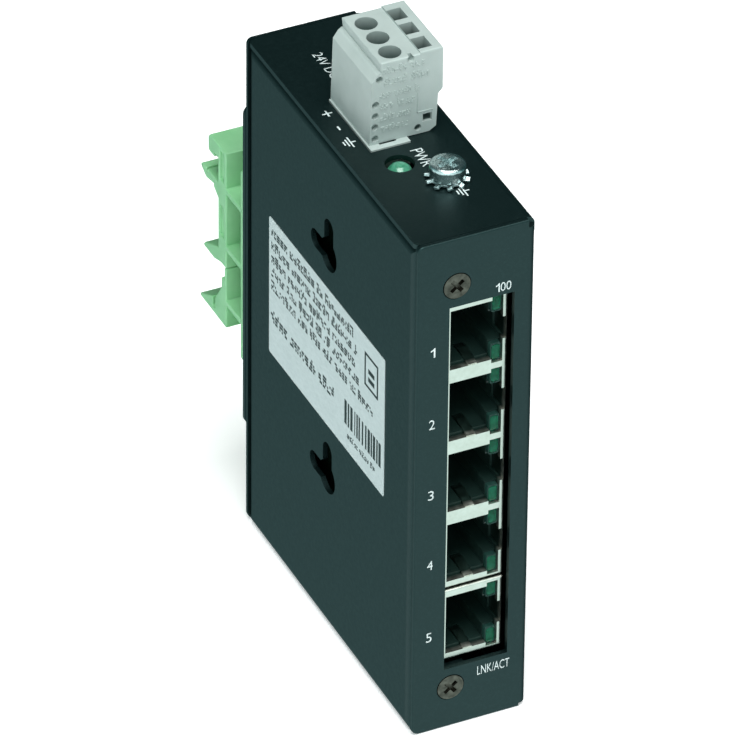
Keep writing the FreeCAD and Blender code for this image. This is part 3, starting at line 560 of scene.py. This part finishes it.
def text_outline(text):
    """The letters as a flat mesh in a bmesh, one unit high or so, lying in XY."""
    curve = bpy.data.curves.new("lettering", "FONT")
    curve.body = text
    curve.offset = LETTER_WEIGHT
    curve.fill_mode = "FRONT"
    curve.resolution_u = LETTER_STEPS
    holder = bpy.data.objects.new("lettering", curve)
    bpy.context.scene.collection.objects.link(holder)
    bpy.context.view_layer.update()
    mesh = bpy.data.meshes.new_from_object(holder.evaluated_get(bpy.context.evaluated_depsgraph_get()))
    bpy.data.objects.remove(holder)
    bpy.data.curves.remove(curve)
    bm = bmesh.new()
    bm.from_mesh(mesh)
    bpy.data.meshes.remove(mesh)
    bmesh.ops.remove_doubles(bm, verts=bm.verts, dist=LETTER_JOIN)
    return bm


def fit(bm, width, height):
    """Scales a flat outline to width by height, in metres, with its middle at the origin."""
    xs = [v.co.x for v in bm.verts]
    ys = [v.co.y for v in bm.verts]
    cx, cy = (min(xs) + max(xs)) / 2, (min(ys) + max(ys)) / 2
    sx = width / (max(xs) - min(xs)) if max(xs) > min(xs) else 1.0
    sy = height / (max(ys) - min(ys)) if max(ys) > min(ys) else 1.0
    for v in bm.verts:
        v.co = Vector(((v.co.x - cx) * sx, (v.co.y - cy) * sy, 0.0))


def thicken(bm, depth):
    """Turns a flat outline into a closed film that is depth thick."""
    flat = list(bm.faces)
    grown = bmesh.ops.extrude_face_region(bm, geom=flat)
    for v in [g for g in grown["geom"] if isinstance(g, bmesh.types.BMVert)]:
        v.co.z += depth
    bmesh.ops.recalc_face_normals(bm, faces=bm.faces)


ONE_OUTLINE = (
    (0.30, 0.0), (0.46, 0.0), (0.46, 1.0), (0.34, 1.0),
    (0.20, 0.84), (0.0, 0.76), (0.0, 0.62), (0.30, 0.74),
)


def one_outline():
    """The figure 1 with a slanting flag, one unit high."""
    bm = bmesh.new()
    bm.faces.new([bm.verts.new((x, y, 0.0)) for x, y in ONE_OUTLINE])
    return bm


def legend(name, text, centre, size, right, up, look):
    """Prints text of size (width, height) in millimetres on the face whose axes are right and up."""
    bm = one_outline() if text == "1" else text_outline(text)
    fit(bm, size[0] * MM, size[1] * MM)
    thicken(bm, INK)
    lay_on(bm, centre, right, up)
    new_piece(name, bm, [look], "switch")


def lay_on(bm, centre, right, up):
    """Moves a flat print from the XY plane to centre, on the face whose axes are right and up."""
    right, up = Vector(right), Vector(up)
    out = right.cross(up)
    turn = Matrix((right, up, out)).transposed().to_4x4()
    bmesh.ops.transform(bm, matrix=Matrix.Translation(Vector(centre) * MM) @ turn, verts=bm.verts)


def bars(rects):
    """A flat bmesh of rectangles (x0, y0, x1, y1), in metres."""
    bm = bmesh.new()
    for x0, y0, x1, y1 in rects:
        bm.faces.new([bm.verts.new(p) for p in ((x0, y0, 0), (x1, y0, 0), (x1, y1, 0), (x0, y1, 0))])
    return bm


def print_bars(name, rects, centre, right, up, look, body="switch", depth=INK):
    """Prints rectangles, in millimetres, on the face whose axes are right and up."""
    bm = bars([[c * MM for c in r] for r in rects])
    thicken(bm, depth)
    lay_on(bm, centre, right, up)
    new_piece(name, bm, [look], body)


FRONT_RIGHT, FRONT_UP = (1, 0, 0), (0, 0, 1)
TOP_RIGHT, TOP_UP = (0, -1, 0), (1, 0, 0)
SIDE_RIGHT, SIDE_UP = (0, -1, 0), (0, 0, 1)


def earth_bars(lengths, pitch, line, stem):
    """The earth symbol: three bars that grow, and a stem above the longest."""
    rects = []
    for i, length in enumerate(lengths):
        low = i * pitch - line / 2
        rects.append((-length / 2, low, length / 2, low + line))
    top = (len(lengths) - 1) * pitch
    rects.append((-line / 2, top + line / 2 + INK_GAP, line / 2, top + stem))
    return rects


INK_GAP = 0.005
PORTS = 5
NUMBER_X = 3.25
NUMBER_DROP = 0.35
NUMBER_SIZE = (1.15, 2.05)
ONE_WIDTH = 0.9
SPEED_DROP = 12.95
FRONT_WORDS = (
    # name, text, from the left edge, from the base (None: SPEED_DROP below the top), size
    ("front_speed_one", "1", 15.85, None, (0.75, 1.9)),
    ("front_speed_zeros", "00", 17.45, None, (2.1, 1.9)),
    ("front_link", "LNK/ACT", 16.45, 11.05, (6.5, 2.0)),
)
TOP_WORDS = (
    # name, text, from the left edge, from the front edge, size
    ("top_power", "PWR", 12.9, 25.6, (5.6, 2.3)),
    ("top_supply", "24V DC", 9.6, 59.4, (8.6, 2.0)),
    ("top_plus", "+", 3.2, 45.2, (2.0, 2.0)),
)
MINUS = ((-0.6, -0.17, 0.6, 0.17),)
MINUS_SPOT = (3.15, 40.1)
EARTH_LENGTHS, EARTH_PITCH, EARTH_LINE, EARTH_STEM = (1.2, 2.2, 3.3), 0.62, 0.27, 1.0
EARTH_SPOTS = (("top_earth", 1.95, 35.2), ("top_ground", 13.95, 13.0))


def make_legends(looks):
    """The port numbers, words and signs printed on the front and the top."""
    ink = looks["white_ink"]
    lo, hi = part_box("chassis")
    left, front, top = lo.x / MM, lo.y / MM, hi.z / MM
    for k in range(1, PORTS + 1):
        port_lo, port_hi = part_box(f"jack_insert_{k}")
        spot = (left + NUMBER_X, front, (port_lo.z + port_hi.z) / 2 / MM - NUMBER_DROP)
        size = (ONE_WIDTH if k == 1 else NUMBER_SIZE[0], NUMBER_SIZE[1])
        legend(f"front_number_{k}", str(k), spot, size, FRONT_RIGHT, FRONT_UP, ink)
    for name, text, x, z, size in FRONT_WORDS:
        height = top - SPEED_DROP if z is None else z
        legend(name, text, (left + x, front, height), size, FRONT_RIGHT, FRONT_UP, ink)
    for name, text, x, y, size in TOP_WORDS:
        legend(name, text, (left + x, front + y, top), size, TOP_RIGHT, TOP_UP, ink)
    minus_spot = (left + MINUS_SPOT[0], front + MINUS_SPOT[1], top)
    print_bars("top_minus", MINUS, minus_spot, TOP_RIGHT, TOP_UP, ink)
    earth = earth_bars(EARTH_LENGTHS, EARTH_PITCH, EARTH_LINE, EARTH_STEM)
    for name, x, y in EARTH_SPOTS:
        print_bars(name, earth, (left + x, front + y, top), TOP_RIGHT, TOP_UP, ink)


SCRIBBLE_COLUMNS = (2, 3, 3)
SCRIBBLE_ROWS = 4
SCRIBBLE_TALL_SHARE = 0.3
SCRIBBLE_FILL = 0.72
SCRIBBLE_GAP = 0.04
SCRIBBLE_BAR = 0.78
MARK_GAP, WORD_GAP, LINE_SLACK = 0.11, 0.36, 0.5
FIRST_WORD, NEXT_WORD = (3, 9), (2, 10)


def scribble(rng, x, base, size, weight):
    """One meaningless mark of a printed line: a few filled cells of a small grid, spelling nothing."""
    columns = rng.choice(SCRIBBLE_COLUMNS)
    rows = SCRIBBLE_ROWS if rng.random() < SCRIBBLE_TALL_SHARE else SCRIBBLE_ROWS - 1
    step = size / SCRIBBLE_ROWS
    rects = []
    for row in range(rows):
        low = base + row * step
        runs = [rng.random() < SCRIBBLE_FILL for _ in range(columns)]
        start = None
        for column, filled in enumerate(runs + [False]):
            if filled and start is None:
                start = column
            elif not filled and start is not None:
                right = x + column * weight - SCRIBBLE_GAP
                rects.append((x + start * weight, low, right, low + step * SCRIBBLE_BAR))
                start = None
    return rects, columns * weight


def printed_line(rng, start, end, base, size, weight):
    """Words of scribbles from start to end."""
    rects, x, left_in_word = [], start, rng.randrange(*FIRST_WORD)
    while x < end - size * LINE_SLACK:
        marks, width = scribble(rng, x, base, size, weight)
        rects += marks
        x += width + size * MARK_GAP
        left_in_word -= 1
        if left_in_word == 0:
            x += size * WORD_GAP
            left_in_word = rng.randrange(*NEXT_WORD)
    return rects


FILM_PROUD_SIDE = 0.016
FILM_CORNER = 0.5
CORNER_STEPS = 4
LINE_ENDS = (38.3, 39.8, 38.9, 40.2, 45.8)
LINE_START, LINE_DROP, LINE_PITCH, LINE_SIZE, LINE_WEIGHT = 1.0, 3.75, 3.02, 2.3, 0.46
EXTRA_LINES = (
    # start, end, base, size, weight
    (0.9, 30.0, 7.5, 2.8, 0.52),
    (34.5, 47.2, 2.9, 1.4, 0.3),
)
LABEL_SEED = 7
BAR_START, BAR_END, BAR_LOW, BAR_HIGH = 33.2, 48.0, 5.6, 10.9
BAR_WIDTHS = (0.35, 0.6, 0.95)
BAR_GAPS = (0.35, 0.5, 0.8)
BOX = (41.6, 19.8, 47.4, 27.2)
BOX_LINE = 0.55
BOX_INSET = 1.6
BOX_BARS = ((1.6, 2.6), (3.4, 4.4))


def make_film(looks, lo, hi):
    """The label's film, with rounded corners."""
    width, height = (hi.y - lo.y) / MM, (hi.z - lo.z) / MM
    corner = FILM_CORNER
    bm = bmesh.new()
    points = []
    for cx, cy, start in ((width - corner, height - corner, 0), (corner, height - corner, 90),
                          (corner, corner, 180), (width - corner, corner, 270)):
        for i in range(CORNER_STEPS + 1):
            angle = math.radians(start + 90 * i / CORNER_STEPS)
            points.append(((cx + corner * math.cos(angle)) * MM, (cy + corner * math.sin(angle)) * MM, 0))
    bm.faces.new([bm.verts.new(p) for p in points])
    thicken(bm, hi.x - lo.x - FILM_PROUD_SIDE * MM)
    lay_on(bm, (hi.x / MM, hi.y / MM, lo.z / MM), SIDE_RIGHT, SIDE_UP)
    film = new_piece("label_film", bm, [looks["paper"]], "switch")
    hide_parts("rating_label")


def make_label(looks):
    """The rating label's film and its print, which is filler and no real wording."""
    lo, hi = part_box("rating_label")
    make_film(looks, lo, hi)
    rng = random.Random(LABEL_SEED)
    top_line = (hi.z - lo.z) / MM - LINE_DROP
    rects = []
    for row, end in enumerate(LINE_ENDS):
        rects += printed_line(rng, LINE_START, end, top_line - row * LINE_PITCH, LINE_SIZE, LINE_WEIGHT)
    rects += printed_line(rng, *EXTRA_LINES[0])
    x = BAR_START
    while x < BAR_END:
        bar = rng.choice(BAR_WIDTHS)
        rects.append((x, BAR_LOW, x + bar, BAR_HIGH))
        x += bar + rng.choice(BAR_GAPS)
    rects += printed_line(rng, *EXTRA_LINES[1])
    x0, y0, x1, y1 = BOX
    line = BOX_LINE
    rects += [(x0, y0, x1, y0 + line), (x0, y1 - line, x1, y1),
              (x0, y0 + line, x0 + line, y1 - line), (x1 - line, y0 + line, x1, y1 - line)]
    rects += [(x0 + BOX_INSET, y0 + low, x1 - BOX_INSET, y0 + high) for low, high in BOX_BARS]
    print_bars("label_print", rects, (lo.x / MM + FILM_PROUD_SIDE, hi.y / MM, lo.z / MM),
               SIDE_RIGHT, SIDE_UP, looks["dark_ink"])


# ---------------------------------------------------------------- port lamps, plug relief, spring

def loft(bm, rings, look_index=0):
    """Skins a stack of equal rings and closes both ends."""
    loops = [[bm.verts.new(p) for p in ring] for ring in rings]
    faces = [bm.faces.new(loops[0]), bm.faces.new(loops[-1])]
    for low, high in zip(loops, loops[1:]):
        for i in range(len(low)):
            j = (i + 1) % len(low)
            faces.append(bm.faces.new((low[i], low[j], high[j], high[i])))
    for face in faces:
        face.material_index = look_index
        face.smooth = True
    return faces


def window_ring(cx, cz, half_w, half_h, radius, y):
    """A rounded rectangle that faces the front, at depth y; all in millimetres."""
    radius = min(radius, half_w, half_h)
    ring = []
    for sx, sz, start in ((1, 1, 0), (-1, 1, 90), (-1, -1, 180), (1, -1, 270)):
        for i in range(ROUND_STEPS + 1):
            angle = math.radians(start + 90 * i / ROUND_STEPS)
            x = cx + sx * (half_w - radius) + radius * math.cos(angle)
            z = cz + sz * (half_h - radius) + radius * math.sin(angle)
            ring.append(Vector((x, y, z)) * MM)
    return ring


LAMP_CORNER, RIM_CORNER, CORE_CORNER = 0.35, 0.3, 0.6
CORE_GAP = 0.02
LAMP_TALL = 3.65
LAMP_WALL = 0.16
RIM_INSET = 0.08
LAMP_SHOULDER, RIM_SINK, CORE_SINK, CORE_DEEP = 0.25, 0.12, 0.14, 0.5  # behind the lamp's front
LAMP_DOME = ((1.0, 0.7), (1.0, 0.3), (0.95, 0.2), (0.85, 0.12), (0.65, 0.06), (0.4, 0.02), (0.15, 0.005))


def make_port_lamps(looks):
    """Light pipes at each socket: a pale moulded frame around a rounded emerald window."""
    for name in [n for n in NODES if n.startswith("port_lenses_")]:
        lo, hi = (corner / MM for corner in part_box(name))
        cx, half_w = (lo.x + hi.x) / 2, (hi.x - lo.x) / 2
        bm = bmesh.new()
        for side in (-1, 1):
            outer = hi.z if side > 0 else lo.z
            inner = outer - side * LAMP_TALL
            cz, half_h = (outer + inner) / 2, LAMP_TALL / 2
            core_w, core_h = half_w - LAMP_WALL, half_h - LAMP_WALL
            core_z = cz + side * LAMP_WALL / 2
            rim_w, rim_h = half_w - RIM_INSET, half_h - RIM_INSET
            loft(bm, [window_ring(cx, cz, half_w, half_h, LAMP_CORNER, hi.y),
                      window_ring(cx, cz, half_w, half_h, LAMP_CORNER, lo.y + LAMP_SHOULDER),
                      window_ring(cx, cz, rim_w, rim_h, RIM_CORNER, lo.y + RIM_SINK),
                      window_ring(cx, core_z, core_w, core_h, CORE_CORNER, lo.y + CORE_SINK),
                      window_ring(cx, core_z, core_w, core_h, CORE_CORNER, lo.y + CORE_DEEP)])
            dome_w, dome_h = core_w - CORE_GAP, core_h - CORE_GAP
            loft(bm, [window_ring(cx, core_z, dome_w * share, dome_h * share, CORE_CORNER * share,
                                  lo.y + sink) for share, sink in LAMP_DOME], 1)
        bmesh.ops.recalc_face_normals(bm, faces=bm.faces)
        lamp = new_piece(name.replace("lenses", "lamps"), bm, [looks["lens_frame"], looks["port_lens"]],
                         "switch")
        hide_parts(name)


RELIEF_SEED = 11
RELIEF_WEIGHT = 0.26
RELIEF_PROUD = 0.14
RELIEF_ROWS = (
    # start, end, base, size
    (2.4, 11.6, 22.0, 1.7),
    (2.8, 11.9, 19.4, 1.9),
    (1.9, 9.9, 16.9, 1.6),
    (1.9, 9.5, 14.5, 1.8),
    (2.1, 8.9, 12.1, 1.6),
    (2.2, 9.0, 9.8, 1.5),
)
RELIEF_PANEL = [(9.4, 12.0, 12.6, 12.12), (9.4, 12.0, 9.52, 16.4)]


def make_plug_relief(looks):
    """Raised filler marks on the plug's front, as a moulder's text would stand, but spelling nothing."""
    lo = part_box("terminal_plug")[0]
    left, front = lo.x / MM, lo.y / MM
    rng = random.Random(RELIEF_SEED)
    rects = []
    for start, end, base, size in RELIEF_ROWS:
        rects += printed_line(rng, start, end, base, size, RELIEF_WEIGHT)
    rects += RELIEF_PANEL
    print_bars("plug_relief", rects, (left, front, lo.z / MM), FRONT_RIGHT, FRONT_UP, looks["terminal"],
               body="terminal_plug", depth=RELIEF_PROUD * MM)


SPRING_WIRE = 0.3 * MM
SPRING_TURNS, SPRING_STEPS, SPRING_SIDES = 5, 28, 10


def make_spring(looks):
    """The latch's coil spring as a wire helix at rest length; the real spring shortens as the latch is
    pulled down, but nothing here shortens it.
    """
    lo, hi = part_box("latch_spring")
    centre = (lo + hi) / 2
    coil = (hi.x - lo.x) / 2 - SPRING_WIRE
    bm = bmesh.new()
    rings = []
    total = SPRING_TURNS * SPRING_STEPS
    for i in range(total + 1):
        angle = 2 * math.pi * i / SPRING_STEPS
        z = lo.z + SPRING_WIRE + (hi.z - lo.z - 2 * SPRING_WIRE) * i / total
        out = Vector((math.cos(angle), math.sin(angle), 0.0))
        spot = Vector((centre.x, centre.y, z)) + out * coil
        ring = []
        for k in range(SPRING_SIDES):
            turn = 2 * math.pi * k / SPRING_SIDES
            lift = Vector((0, 0, SPRING_WIRE * math.sin(turn)))
            ring.append(spot + out * SPRING_WIRE * math.cos(turn) + lift)
        rings.append(ring)
    loft(bm, rings)
    bmesh.ops.recalc_face_normals(bm, faces=bm.faces)
    spring = new_piece("spring_coil", bm, [looks["steel"]], "switch")
    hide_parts("latch_spring")
    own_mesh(spring)


SOFTENED = {"rail_foot": 0.25, "rail_latch": 0.25, "lock_washer": 0.14}
BEVEL_STEPS = 2
BEVEL_ANGLE = math.radians(30)
FLAT_ANGLE = math.radians(0.5)
JOIN_DISTANCE = 0.001 * MM


def soften_edges(name, width):
    """Rounds a moulded node's sharp edges by modifiers, which leave its mesh as packed."""
    weld = NODES[name].modifiers.new("join_faces", "WELD")
    weld.merge_threshold = JOIN_DISTANCE
    flat = NODES[name].modifiers.new("merge_flat_faces", "DECIMATE")
    flat.decimate_type = "DISSOLVE"
    flat.angle_limit = FLAT_ANGLE
    bevel = NODES[name].modifiers.new("moulded_edges", "BEVEL")
    bevel.harden_normals = True
    bevel.width = width * MM
    bevel.segments = BEVEL_STEPS
    bevel.limit_method = "ANGLE"
    bevel.angle_limit = BEVEL_ANGLE
    bevel.use_clamp_overlap = False


make_camera()
make_studio()
LOOKS = make_looks()
paint_nodes(LOOKS)
make_legends(LOOKS)
make_label(LOOKS)
make_port_lamps(LOOKS)
make_plug_relief(LOOKS)
make_spring(LOOKS)
for moulded, radius in SOFTENED.items():
    soften_edges(moulded, radius)
